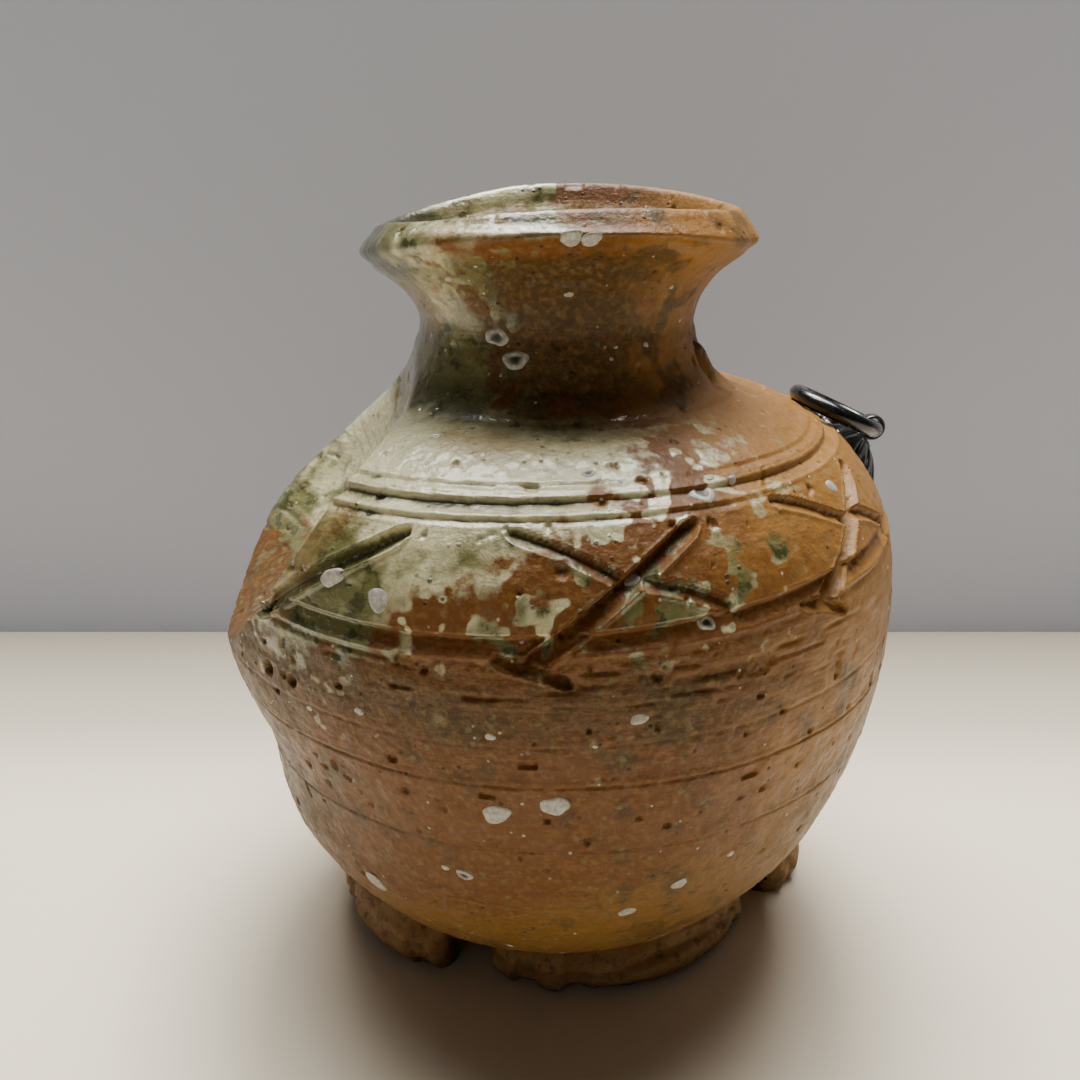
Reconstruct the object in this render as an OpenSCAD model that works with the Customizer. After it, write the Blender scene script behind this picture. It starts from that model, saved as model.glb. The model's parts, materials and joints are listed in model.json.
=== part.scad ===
// Squat wood-fired stoneware flower bottle with a flared mouth, a pushed-in shoulder,
// a carved band, a four-lobed clay foot and a small iron hanging ring.
// Units are millimetres. +Z is up, the table is z = 0 and the origin is on the pot's axis.
// Azimuths are measured from the front (-Y) and grow towards +X.

/* [Body] */
// Widest diameter of the belly
belly_d = 121.6; // [119:0.2:125]
// Height of the joint where the neck collar is luted on
joint_h = 104; // [103:0.5:106]
// Thickness of the thrown wall
wall_t = 5; // [4.5:0.1:5.5]
// Height of the underside above the table
underside_h = 7; // [6.5:0.1:7.5]

/* [Dent] */
// Radius of the round push that hollows the left shoulder
dent_r = 52; // [51:0.5:53]
// Azimuth of the dent's centre
dent_az = -80; // [-84:1:-76]
// Elevation of the dent's centre seen from the origin
dent_el = 55; // [54:0.5:56]
// Distance from the origin to the dent's deepest point
dent_reach = 83.7; // [83.5:0.1:85]

/* [Far press] */
// Azimuth of the flat press that takes the far rim off the dent
press_az = -95; // [-98:1:-92]
// Elevation of the flat press
press_el = 48.5; // [47.5:0.5:49.5]
// Distance of the flat press from the origin
press_reach = 98; // [97.5:0.1:99]

/* [Carved band] */
// Depth of the carving
carve_d = 1.4; // [1:0.1:1.8]
// Width of the two carved rings
ring_w = 2.4; // [1.8:0.1:3]
// Height of the upper carved ring
upper_z = 96.6; // [96:0.1:97.5]
// Height of the lower carved ring at the axis
lower_z = 80.3; // [79.5:0.1:81]
// Tilt of the lower ring, rising towards +X
lower_tilt = 4; // [2.5:0.1:4.5]

/* [Neck] */
// Outer diameter at the narrowest part of the neck
neck_d = 47.4; // [46.5:0.2:49]
// Outer diameter of the flange under the lip
flange_d = 66.6; // [64:0.2:68]
// Overall height of the pot
total_h = 134.5; // [133:0.5:137]
// Thickness of the neck wall
neck_t = 4.2; // [4:0.1:4.6]

/* [Foot] */
// Sideways shift of the foot from the pot's axis
foot_shift = [3, 3]; // [2:0.5:4]
// Radius of the rolled clay section
foot_roll = 7; // [6.6:0.1:7.4]

/* [Hanging fitting] */
// Azimuth of the fitting
fit_az = 95; // [92:1:98]
// Position of the fitting along the shoulder curve, lower is nearer the belly
fit_at = 4.7; // [4.66:0.02:4.74]
// Diameter of the rosette
rosette_d = 19.6; // [18:0.2:20]
// Height of the rosette's dome
rosette_h = 3.6; // [3.2:0.1:3.7]
// Outer diameter of the hanging ring
hang_d = 18.4; // [18:0.1:18.8]
// Thickness of the ring's iron wire
wire_d = 2.9; // [2.8:0.05:3]
// Distance from the clay to the centre of the eye
eye_lift = 5.8; // [5.8:0.1:6.2]
// Turn of the eye about its shank, away from level
eye_twist = -1; // [-3:1:1]
// Lean of the ring from the fitting's own plane, with the ring resting on the shoulder
lean = -28.9; // [-28.9:0.1:-27]

/* [Hidden] */
part_fn = 96;
belly_r = belly_d / 2;
steps = 5;

// Outside of the body, from the underside to the neck joint.
body_pts = [
  [0.520 * belly_r, underside_h],
  [0.745 * belly_r, underside_h + 0.113 * (joint_h - underside_h)],
  [0.905 * belly_r, underside_h + 0.284 * (joint_h - underside_h)],
  [0.994 * belly_r, underside_h + 0.536 * (joint_h - underside_h)],
  [0.975 * belly_r, underside_h + 0.763 * (joint_h - underside_h)],
  [0.848 * belly_r, underside_h + 0.903 * (joint_h - underside_h)],
  [0.672 * belly_r, underside_h + 0.972 * (joint_h - underside_h)],
  [31.4, joint_h]];

// Outside of the neck, from the joint to the flange.
neck_pts = [
  [31.4, joint_h],
  [26.4, joint_h + 4.4],
  [neck_d / 2, joint_h + 11.5],
  [neck_d / 2 + 1.2, joint_h + 16.5],
  [0.82 * flange_d / 2, joint_h + 20.6],
  [flange_d / 2, total_h - 5.4]];

cavity_floor = underside_h + wall_t + 1;
bore_r_neck = neck_d / 2 - neck_t;

dent_dir = [sin(dent_az) * cos(dent_el), -cos(dent_az) * cos(dent_el), sin(dent_el)];
dent_c = dent_dir * (dent_reach + dent_r);
press_dir = [sin(press_az) * cos(press_el), -cos(press_az) * cos(press_el), sin(press_el)];

// The carved band carries one motif at even steps round the pot: a long slash crossed by two short cuts.
motif_step = 45;
motif_start = 8;
// The steps that carry it, leaving out the dent and the iron fitting.
motif_steps = [-1, 0, 1, 3, 4, 5];
band_mid = (upper_z + lower_z) / 2 - 2;
// Each stroke of the motif: azimuth from its middle, height from the band's middle, lean, length, width.
motif = [[0, 0, 35, 28, 2.8], [-8, 5, -20, 18, 2.2], [9, -1, -20, 14, 2.2]];
strokes = [for (k = motif_steps, m = motif)
  [motif_start + k * motif_step + m[0], band_mid + m[1], m[2], m[3], m[4]]];

// Each foot lobe: azimuth of its middle, radius of its middle line, reach to either side, extra roll radius.
lobes = [[20.5, 33, 27.5, 0], [-74, 38.5, 26, 1], [110, 40.5, 26, 1.8], [199, 35, 20.5, 0]];

// Pairs of feldspar grains: azimuth and height between them, radius, drop from left to right.
body_pairs = [[-30, lower_z + 5, 1.8, 1], [-5, 55, 1.8, -2], [15, 35, 1.4, -5]];
neck_pairs = [[-20, joint_h + 10, 1.6, 3]];
// Half the angle between the two grains of a pair.
pair_half = 4;
// Single grains on the body: azimuth, height, radius.
single_grains = [[-35, 30, 1.6], [-15, 40, 1.4], [10, 70, 1.4], [80, 45, 2]];
function spread(pairs) = [for (g = pairs, s = [-1, 1]) [g[0] + s * pair_half, g[1] - s * g[3] / 2, g[2]]];
grains = concat(single_grains, spread(body_pairs));
neck_grains = spread(neck_pairs);

wire_r = wire_d / 2;
hang_r = hang_d / 2 - wire_r;
eye_in = wire_r + 0.25;
eye_out = eye_in + 0.75;
eye_w = 2.6;
shank_r = 1.5;
hole_r = 1.6;

function catmull(a, b, c, d, t) = 0.5 * (2 * b + (c - a) * t + (2 * a - 5 * b + 4 * c - d) * t * t
  + (3 * b - a - 3 * c + d) * t * t * t);
function curve_at(p, s) = let(i = min(floor(s), len(p) - 2))
  catmull(p[max(i - 1, 0)], p[i], p[i + 1], p[min(i + 2, len(p) - 1)], s - i);
function curve(p, n) = [for (k = [0 : n * (len(p) - 1)]) curve_at(p, k / n)];
function unit(v) = v / norm(v);
function side(p, s) = let(t = unit(curve_at(p, min(s + 0.01, len(p) - 1.001))
  - curve_at(p, max(s - 0.01, 0)))) [t[1], -t[0]];
function inset(p, n, d) = [for (k = [0 : n * (len(p) - 1)]) curve_at(p, k / n) - d * side(p, k / n)];
function radius_at(p, z) = lookup(z, [for (q = curve(p, 10)) [q[1], q[0]]]);

fit_pt = curve_at(body_pts, fit_at);
fit_n = side(body_pts, fit_at);
fit_el = atan2(fit_n[1], fit_n[0]);

module revolve(pts) {
  rotate_extrude($fn = part_fn)
    polygon(concat([[0, pts[0][1]]], pts, [[0, pts[len(pts) - 1][1]]]));
}

module body_skin(d = 0) {
  revolve(inset(body_pts, steps, d));
}

module body_outside() {
  revolve(curve(body_pts, steps));
}

module dent(extra = 0) {
  translate(dent_c) sphere(r = dent_r + extra, $fn = part_fn);
}

module far_press(extra = 0) {
  translate(press_dir * (press_reach - extra))
    rotate([0, 90 - press_el, press_az - 90])
      translate([-70, -70, 0])
        cube([140, 140, 60]);
}

module cavity() {
  rotate_extrude($fn = part_fn)
    polygon(concat(
      [[0, cavity_floor], [0.46 * belly_r, cavity_floor]],
      [for (q = inset(body_pts, steps, wall_t)) if (q[1] > cavity_floor + 1 && q[1] < joint_h - 4) q],
      [[bore_r_neck + 2, joint_h - 3], [bore_r_neck + 1.5, joint_h + 1], [0, joint_h + 1]]));
}

module stroke(s) {
  rotate([0, 0, s[0]])
    translate([0, -70, s[1]])
      rotate([0, -s[2], 0])
        cube([s[3], 50, s[4]], center = true);
}

module band_cutters() {
  translate([0, 0, upper_z])
    cube([200, 200, ring_w], center = true);
  translate([0, 0, lower_z])
    rotate([0, -lower_tilt, 0])
      cube([200, 200, ring_w], center = true);
  for (s = strokes)
    stroke(s);
}

module carved_core() {
  difference() {
    body_skin(carve_d);
    dent(carve_d);
    far_press(carve_d);
  }
}

// A grain sits with a little over half of it above the clay.
module grain(g, pts) {
  rotate([0, 0, g[0]])
    translate([0, -(radius_at(pts, g[1]) - 0.45 * g[2]), g[1]])
      sphere(r = g[2], $fn = 32);
}

// Local frame of the fitting: +Z straight out of the clay, X level along the wall.
module at_fitting() {
  rotate([0, 0, fit_az - 90])
    translate([fit_pt[0], 0, fit_pt[1]])
      rotate([0, 90 - fit_el, 0])
        rotate([0, 0, 90])
          children();
}

module jar_body() {
  color([0.66, 0.42, 0.22])
    difference() {
      body_outside();
      dent();
      far_press();
      difference() {
        cavity();
        dent(wall_t);
        far_press(wall_t);
      }
      difference() {
        intersection() {
          band_cutters();
          translate([0, 0, 70])
            cylinder(h = joint_h - 72, r = belly_r + 5, $fn = part_fn);
        }
        carved_core();
      }
      for (g = grains)
        grain(g, body_pts);
      at_fitting()
        cylinder(h = 30, r = hole_r, center = true, $fn = 48);
    }
}

module neck_outline() {
  top = total_h;
  polygon(concat(
    curve(neck_pts, steps),
    [[flange_d / 2 + 0.1, top - 4.4], [flange_d / 2 - 0.4, top - 3.2], [flange_d / 2 - 1.4, top - 1.6],
     [flange_d / 2 - 2.2, top - 0.5], [flange_d / 2 - 3.3, top], [flange_d / 2 - 4.6, top - 0.5],
     [flange_d / 2 - 5.4, top - 2], [flange_d / 2 - 7.2, top - 6], [flange_d / 2 - 10, top - 10],
     [bore_r_neck + 0.5, top - 15], [bore_r_neck, joint_h + 11], [bore_r_neck + 0.4, joint_h + 4],
     [bore_r_neck + 1.6, joint_h]]));
}

module neck_collar() {
  color([0.70, 0.60, 0.40])
    difference() {
      rotate_extrude($fn = part_fn)
        neck_outline();
      intersection() {
        dent();
        cylinder(h = joint_h + 8, r = belly_r, $fn = part_fn);
      }
      for (g = neck_grains)
        grain(g, neck_pts);
    }
}

module foot_lobe(k) {
  l = lobes[k];
  roll_r = foot_roll + l[3];
  color([0.62, 0.40, 0.24])
    difference() {
      translate([foot_shift[0], foot_shift[1], roll_r - 3])
        intersection() {
          rotate_extrude($fn = part_fn)
            translate([l[1], 0])
              circle(r = roll_r, $fn = 48);
          rotate([0, 0, l[0]])
            translate([0, -l[1] - 4, -20])
              cylinder(h = 40, r = l[2], $fn = part_fn);
        }
      body_outside();
      translate([0, 0, -20])
        cube([200, 200, 40], center = true);
    }
}

module feldspar_grains() {
  color([0.90, 0.87, 0.80])
    union() {
      for (g = grains)
        grain(g, body_pts);
      for (g = neck_grains)
        grain(g, neck_pts);
    }
}

module rosette() {
  cap_r = (pow(rosette_d / 2, 2) + pow(rosette_h, 2)) / (2 * rosette_h);
  petals = 16;
  color([0.06, 0.06, 0.07])
    difference() {
      at_fitting()
        difference() {
          translate([0, 0, -3])
            intersection() {
              cylinder(h = rosette_h + 3, r = rosette_d / 2, $fn = part_fn);
              translate([0, 0, rosette_h + 3 - cap_r])
                sphere(r = cap_r, $fn = part_fn);
            }
          for (k = [0 : petals - 1])
            rotate([0, 0, (k + 0.5) * 360 / petals])
              translate([rosette_d / 2, 0, rosette_h * 0.36])
                rotate([0, -112, 0])
                  cylinder(h = 12, r = 0.75, center = true, $fn = 24);
          cylinder(h = 30, r = shank_r + 0.25, center = true, $fn = 48);
        }
      body_outside();
    }
}

module split_pin() {
  leg_z = -wall_t - 0.9;
  color([0.08, 0.08, 0.09])
    at_fitting()
      rotate([0, 0, eye_twist])
      union() {
        difference() {
          union() {
            translate([0, 0, eye_lift])
              rotate([0, 90, 0])
                cylinder(h = eye_w, r = eye_out, center = true, $fn = part_fn);
            translate([0, 0, leg_z])
              cylinder(h = eye_lift - leg_z, r = shank_r, $fn = 48);
          }
          translate([0, 0, eye_lift])
            rotate([0, 90, 0])
              cylinder(h = 10, r = eye_in, center = true, $fn = part_fn);
          translate([-5, -0.12, leg_z - 1])
            cube([10, 0.24, eye_lift - leg_z - 0.2]);
        }
        for (m = [0, 1])
          mirror([0, m, 0])
            translate([-1.2, 0.12, leg_z - 0.7])
              cube([2.4, 5.4, 0.9]);
      }
}

module hanging_ring() {
  color([0.05, 0.05, 0.06])
    at_fitting()
      rotate([0, 0, eye_twist])
        translate([0, 0, eye_lift])
          rotate([lean, 0, 0])
            translate([0, hang_r, 0])
              rotate_extrude($fn = part_fn)
                translate([hang_r, 0])
                  circle(r = wire_r, $fn = 48);
}

jar_body();
neck_collar();
foot_lobe(0);  // foot_lobe_front
foot_lobe(1);  // foot_lobe_left
foot_lobe(2);  // foot_lobe_right
foot_lobe(3);  // foot_lobe_back
feldspar_grains();
rosette();
split_pin();
hanging_ring();
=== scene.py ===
"""Looks of the wood-fired hanging vase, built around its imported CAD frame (Blender 4.5, metres).

The clay is one thrown surface: a profile turned round the axis, pushed in at the left shoulder,
then carved, combed and pitted along its own normals.  Shapes are worked in millimetres and turned
into metres when a mesh is made.  Azimuth 0 is the front (-Y) and grows towards +X.
"""
import json
import math
import random

import bpy
import mathutils
import numpy as np
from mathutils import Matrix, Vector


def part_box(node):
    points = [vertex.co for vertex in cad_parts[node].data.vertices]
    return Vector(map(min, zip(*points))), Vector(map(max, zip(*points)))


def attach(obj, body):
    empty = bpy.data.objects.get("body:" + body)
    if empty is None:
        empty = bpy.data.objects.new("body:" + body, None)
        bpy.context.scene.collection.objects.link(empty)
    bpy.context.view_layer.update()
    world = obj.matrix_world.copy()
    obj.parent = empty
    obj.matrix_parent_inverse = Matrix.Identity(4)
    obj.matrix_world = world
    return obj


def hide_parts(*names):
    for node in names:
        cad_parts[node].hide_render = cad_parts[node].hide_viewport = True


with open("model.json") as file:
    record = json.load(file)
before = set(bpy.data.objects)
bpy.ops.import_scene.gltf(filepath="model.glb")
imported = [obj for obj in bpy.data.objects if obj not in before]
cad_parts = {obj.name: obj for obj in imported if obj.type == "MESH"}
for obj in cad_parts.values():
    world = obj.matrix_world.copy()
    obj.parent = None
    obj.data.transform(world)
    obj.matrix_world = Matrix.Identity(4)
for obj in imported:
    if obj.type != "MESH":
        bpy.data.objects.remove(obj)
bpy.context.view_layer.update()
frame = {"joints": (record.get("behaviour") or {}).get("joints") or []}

MM = 0.001
TAU = 2 * math.pi

# ---------------------------------------------------------------- sizes from the frame


def node_box_mm(name):
    low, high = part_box(name)
    return [v / MM for v in low], [v / MM for v in high]


BODY_LOW, BODY_HIGH = node_box_mm("jar_body")
NECK_HIGH = node_box_mm("neck_collar")[1]
BELLY_R = BODY_HIGH[0]
BASE_Z = BODY_LOW[2]
JOINT_Z = BODY_HIGH[2]
TOP_Z = NECK_HIGH[2]
FLANGE_R = NECK_HIGH[0]
JOINT_R = 31.4
WALL = 5.0
BORE_R = 19.5
FOOT_SHIFT = (3.0, 3.0)

HINGE = next(j for j in frame["joints"] if j["name"] == "ring_swing")

# ---------------------------------------------------------------- numbers with noise


def hash3(ix, iy, iz, seed):
    """Repeatable random value in 0..1 for each lattice point."""
    h = ix * 374761393 + iy * 668265263 + iz * 2147483647 + seed * 144269504
    h = (h ^ (h >> 13)) * 1274126177
    h = h ^ (h >> 16)
    return (h & 0xFFFFFF).astype(np.float64) / 0xFFFFFF


def noise(p, scale, seed=0):
    """Smooth value noise in -1..1 of points p (N, 3), with cells of the given size."""
    q = p / scale
    i = np.floor(q).astype(np.int64)
    f = q - i
    f = f * f * f * (f * (f * 6 - 15) + 10)
    out = np.zeros(len(p))
    for dx in (0, 1):
        wx = f[:, 0] if dx else 1 - f[:, 0]
        for dy in (0, 1):
            wy = f[:, 1] if dy else 1 - f[:, 1]
            for dz in (0, 1):
                wz = f[:, 2] if dz else 1 - f[:, 2]
                out += wx * wy * wz * hash3(i[:, 0] + dx, i[:, 1] + dy, i[:, 2] + dz, seed)
    return out * 2 - 1


def fractal(p, scale, seed=0, octaves=3):
    total = np.zeros(len(p))
    weight = 1.0
    norm = 0.0
    for k in range(octaves):
        total += weight * noise(p + 17.3 * k, scale / 2**k, seed + k)
        norm += weight
        weight *= 0.55
    return total / norm


def smooth(x, low, high):
    t = np.clip((x - low) / (high - low), 0, 1)
    return t * t * (3 - 2 * t)


def wrap(angle):
    """Angle in degrees brought to -180..180."""
    return (angle + 180) % 360 - 180


# ---------------------------------------------------------------- the thrown profile


def catmull(points, steps):
    pts = np.array(points, float)
    out = []
    last = len(pts) - 1
    for i in range(last):
        a, b = pts[max(i - 1, 0)], pts[i]
        c, d = pts[i + 1], pts[min(i + 2, last)]
        for k in range(steps):
            t = k / steps
            out.append(0.5 * (2 * b + (c - a) * t + (2 * a - 5 * b + 4 * c - d) * t * t
                              + (3 * b - a - 3 * c + d) * t**3))
    out.append(pts[-1])
    return np.array(out)


RISE = JOINT_Z - BASE_Z
BODY_OUT = [
    (0.520 * BELLY_R, BASE_Z), (0.745 * BELLY_R, BASE_Z + 0.113 * RISE),
    (0.905 * BELLY_R, BASE_Z + 0.284 * RISE), (0.994 * BELLY_R, BASE_Z + 0.536 * RISE),
    (0.975 * BELLY_R, BASE_Z + 0.763 * RISE), (0.848 * BELLY_R, BASE_Z + 0.903 * RISE),
    (0.672 * BELLY_R, BASE_Z + 0.972 * RISE), (JOINT_R, JOINT_Z)]
NECK_OUT = [
    (JOINT_R, JOINT_Z), (26.5, JOINT_Z + 4.3), (23.9, JOINT_Z + 11), (24.7, JOINT_Z + 16.4),
    (27.6, JOINT_Z + 20.6), (31.4, TOP_Z - 7.0), (FLANGE_R - 0.5, TOP_Z - 5.6)]
LIP = [
    (FLANGE_R - 0.5, TOP_Z - 5.6), (FLANGE_R + 0.1, TOP_Z - 4.6), (FLANGE_R - 0.6, TOP_Z - 3.2),
    (FLANGE_R - 2.0, TOP_Z - 1.4), (FLANGE_R - 3.0, TOP_Z - 0.2), (FLANGE_R - 4.2, TOP_Z - 0.1),
    (FLANGE_R - 5.2, TOP_Z - 1.3), (FLANGE_R - 6.0, TOP_Z - 3.2)]
NECK_IN = [
    (FLANGE_R - 6.0, TOP_Z - 3.2), (FLANGE_R - 8.3, TOP_Z - 6.5), (FLANGE_R - 11.5, TOP_Z - 11),
    (BORE_R + 0.3, TOP_Z - 16), (BORE_R, JOINT_Z + 8), (BORE_R + 1.8, JOINT_Z - 1)]
BODY_IN = [
    (BORE_R + 1.8, JOINT_Z - 1), (30, JOINT_Z - 4.6), (42, JOINT_Z - 10.5), (50, JOINT_Z - 18),
    (54.6, JOINT_Z - 30), (55.4, JOINT_Z - 48), (51, JOINT_Z - 68), (41, JOINT_Z - 83),
    (30, BASE_Z + 7.5), (0.3, BASE_Z + 6.2)]


def polyline(points, steps=24):
    """Dense points of a curve with their running length."""
    p = catmull(points, steps)
    run = np.concatenate([[0], np.cumsum(np.hypot(*np.diff(p, axis=0).T))])
    return p, run


def resample(points, count, crowd=None):
    """Points at equal steps of running length, or at the fractions that crowd gives."""
    p, run = polyline(points)
    at = (np.linspace(0, 1, count) if crowd is None else crowd) * run[-1]
    return np.stack([np.interp(at, run, p[:, 0]), np.interp(at, run, p[:, 1])], axis=1)


BODY_LINE, BODY_RUN = polyline(BODY_OUT)


def run_at(z):
    """Running length along the outside of the body at a height."""
    return np.interp(z, BODY_LINE[:, 1], BODY_RUN)


def radius_at(z):
    return np.interp(z, BODY_LINE[:, 1], BODY_LINE[:, 0])


# ---------------------------------------------------------------- hand-made unevenness

DENT_AZ = math.radians(-80)
DENT_EL = math.radians(55)
DENT_R = 52.0
DENT_REACH = 83.7
DENT_DIR = np.array([math.sin(DENT_AZ) * math.cos(DENT_EL), -math.cos(DENT_AZ) * math.cos(DENT_EL),
                     math.sin(DENT_EL)])
DENT_C = DENT_DIR * (DENT_REACH + DENT_R)
HEART = np.array([0.0, 0.0, 66.0])


def press_dent(p, extra=0.0):
    """Pushes points that lie in the dent's sphere back to its surface, along lines to the pot's heart."""
    v = p - HEART
    dist = np.linalg.norm(v, axis=1)
    u = v / dist[:, None]
    w = DENT_C - HEART
    b = u @ w
    low = 1 - smooth(u[:, 2], 0.05, 0.42)
    ridge = 3.4 + 6.5 * low
    radius = DENT_R + extra - 1.9 * low
    disc = b * b - (w @ w - radius * radius)
    entry = np.where(disc > 0, b - np.sqrt(np.maximum(disc, 0)), b + 3 * np.sqrt(np.maximum(-disc, 0)))
    entry = np.where(b > 0, entry, 1e3)
    h = np.clip(0.5 + 0.5 * (entry - dist) / ridge, 0, 1)
    new = entry * (1 - h) + dist * h - ridge * h * (1 - h)
    new = np.where(p[:, 2] > JOINT_Z + 12, dist, new)
    return HEART + u * new[:, None]


def flatten_left(az, z):
    """How far the lower left of the belly is paddled in."""
    side = np.clip(np.cos(np.radians(wrap(az + 95)) * 0.8), 0, 1) ** 1.5
    return 3.5 * np.exp(-((z - 45) / 12) ** 2) * side


PRESS_AZ = math.radians(-95.2)
PRESS_EL = math.radians(48.5)
PRESS_DIR = np.array([math.sin(PRESS_AZ) * math.cos(PRESS_EL), -math.cos(PRESS_AZ) * math.cos(PRESS_EL),
                      math.sin(PRESS_EL)])
PRESS_REACH = 96.9


def press_far_rim(p, extra=0.0, ridge=3.5):
    """Flattens the far rim of the dent to a plane, fading out before the neck."""
    v = p - HEART
    dist = np.linalg.norm(v, axis=1)
    u = v / dist[:, None]
    lean = u @ PRESS_DIR
    entry = np.where(lean > 0.05, (PRESS_REACH - extra - HEART @ PRESS_DIR) / np.maximum(lean, 0.05), 1e3)
    h = np.clip(0.5 + 0.5 * (entry - dist) / ridge, 0, 1)
    new = entry * (1 - h) + dist * h - ridge * h * (1 - h)
    near_neck = smooth(np.hypot(p[:, 0], p[:, 1]), 27, 38) * (1 - smooth(p[:, 2], JOINT_Z, JOINT_Z + 8))
    return HEART + u * (dist + (new - dist) * near_neck)[:, None]


def rim_warp(az):
    a = np.radians(az)
    return -0.1 - 1.1 * np.cos(a) + 1.5 * np.sin(a) + 1.7 * np.cos(2 * a)


def shape(az, rz, inside):
    """Places of profile points rz (R, 2) at azimuths az (C,): an (R, C, 3) grid of millimetres."""
    r = np.repeat(rz[:, 0][:, None], len(az), axis=1)
    z = np.repeat(rz[:, 1][:, None], len(az), axis=1)
    a = np.repeat(az[None, :], len(rz), axis=0)
    r = r - flatten_left(a, z) * smooth(r, 12, 30)
    lift = smooth(z, JOINT_Z + 6, TOP_Z - 5)
    z = z + rim_warp(a) * lift
    thin = smooth(np.cos(np.radians(a + 20)), 0.1, 0.95)
    z = z + 1.35 * thin * smooth(z, JOINT_Z + 16, TOP_Z - 6) * (1 - smooth(z, TOP_Z - 4.6, TOP_Z - 1.2))
    rad = np.radians(a)
    p = np.stack([r * np.sin(rad), -r * np.cos(rad), z], axis=-1).reshape(-1, 3)
    p = press_dent(p, extra=WALL if inside else 0.0)
    p = press_far_rim(p, extra=WALL if inside else 0.0)
    return p.reshape(len(rz), len(az), 3)


# ---------------------------------------------------------------- carving

def ring_heights(az):
    """Heights of the two carved rings at an azimuth."""
    a = np.radians(az)
    upper = 97.0 + 0.9 * np.sin(a) - 0.2 * np.cos(a) + 0.25 * np.sin(3 * a + 1)
    lower = 80.9 + 2.6 * np.sin(a + 0.25) - 1.4 * np.cos(2 * a) * 0.6 + 0.3 * np.sin(3 * a)
    return upper, lower


# The band carries one motif at even steps: a long slash, two short cuts across it and a torn tail.
# Each stroke: from azimuth, from share of the band's height, to azimuth, to share, width, depth.
MOTIF = [(13, 0.85, -13, -0.12, 2.9, 2.0), (-16, 0.85, 1, 0.45, 2.3, 1.0), (3, 0.45, 16, 0.12, 2.4, 1.1),
         (-17, -0.08, -7, -0.36, 2.0, 1.3)]
MOTIF_START = 8
MOTIF_STEP = 45
# The steps that carry it, leaving out the dent and the iron fitting; the one beside the dent is a lone slash.
MOTIF_STEPS = (-1, 0, 1, 3, 4, 5)


def motif_strokes():
    """Every stroke of the band: azimuth and height of both ends, width, depth."""
    out = []
    for step in MOTIF_STEPS:
        turn = MOTIF_START + step * MOTIF_STEP
        for from_az, from_share, to_az, to_share, width, deep in MOTIF[:1] if step == -1 else MOTIF:
            ends = []
            for place, share in ((turn + from_az, from_share), (turn + to_az, to_share)):
                upper, lower = ring_heights(place)
                ends += [place, lower + share * (upper - lower)]
            out.append((*ends, width, deep))
    return out


STROKES = motif_strokes()


def gouge(x, width, depth, lean=0.62):
    """Section of a knife cut, x growing downhill: a steep upper wall, a long sloping floor, small burrs."""
    u = x / (0.5 * width) + lean
    v = np.where(u < 0, u / (1 - lean), u / (1 + lean))
    cut = np.clip(1 - np.abs(v), 0, 1)
    cut = np.where(u < 0, np.minimum(cut * 1.6, 1), cut**0.8)
    burr = np.where(u > 0, np.exp(-((v - 1.08) / 0.14) ** 2) * 0.24, np.exp(-((v + 1.3) / 0.4) ** 2) * 0.14)
    return depth * (-cut + burr)


def carving(az, z, n3):
    """Depth (negative) of all the carved marks, and a 0..1 mask of where they are."""
    depth = np.zeros(len(az))
    s = run_at(z)
    upper, lower = ring_heights(az)
    band = smooth(z, 70, 73)
    wob = 0.75 + 0.35 * n3
    cuts = [
        gouge(run_at(upper) - s, 2.8, 1.0) * wob,
        gouge(run_at(upper) - s + 3.5, 1.5, 0.38) * (0.6 + 0.5 * n3),
        gouge(run_at(upper) - s - 2.7, 1.3, 0.35) * smooth(-wrap(az - 20), -40, 10),
        gouge(run_at(lower) - s, 3.0, 1.35) * wob,
        gouge(run_at(lower) - s - 2.9, 1.3, 0.35) * (0.5 + 0.6 * n3),
    ]
    for c in cuts:
        depth += c * band
    for a0, z0, a1, z1, width, deep in STROKES:
        mid = math.radians(0.5 * (a0 + a1))
        ring = float(radius_at(0.5 * (z0 + z1)))
        x = np.radians(wrap(az - math.degrees(mid))) * ring
        y = s - run_at(0.5 * (z0 + z1))
        ex = math.radians(a1 - a0) * ring
        ey = float(run_at(z1) - run_at(z0))
        length = math.hypot(ex, ey)
        near = (np.abs(x) < length) & (np.abs(y) < length)
        if not near.any():
            continue
        tx, ty = ex / length, ey / length
        along = x[near] * tx + y[near] * ty
        across = -x[near] * ty + y[near] * tx
        end = np.clip((0.5 * length - np.abs(along)) / (0.9 * width) + 0.35, 0, 1)
        wide = width * (0.45 + 0.55 * end)
        bend = 0.35 * np.sin(along / length * 5 + a0)
        cut = gouge((across + bend) * -np.sign(tx), wide, deep) * smooth(end, 0, 0.6)
        depth[near] = np.where(cut < 0, np.minimum(depth[near], cut), depth[near] + cut)
    rim = 1 - 0.85 * smooth(-wrap(az), 78, 92) * smooth(-np.abs(wrap(az) + 110), -34, -26)
    depth *= rim
    mask = np.clip(-depth / 0.9, 0, 1)
    return depth, mask


# Each big pit: azimuth, height, radius, depth.
PITS = [(-48, 68, 1.1, 1.2), (-42, 68, 0.9, 1.0), (0, 90, 0.9, 0.9), (150, 60, 1.0, 1.1), (205, 45, 1.2, 1.0)]


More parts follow.
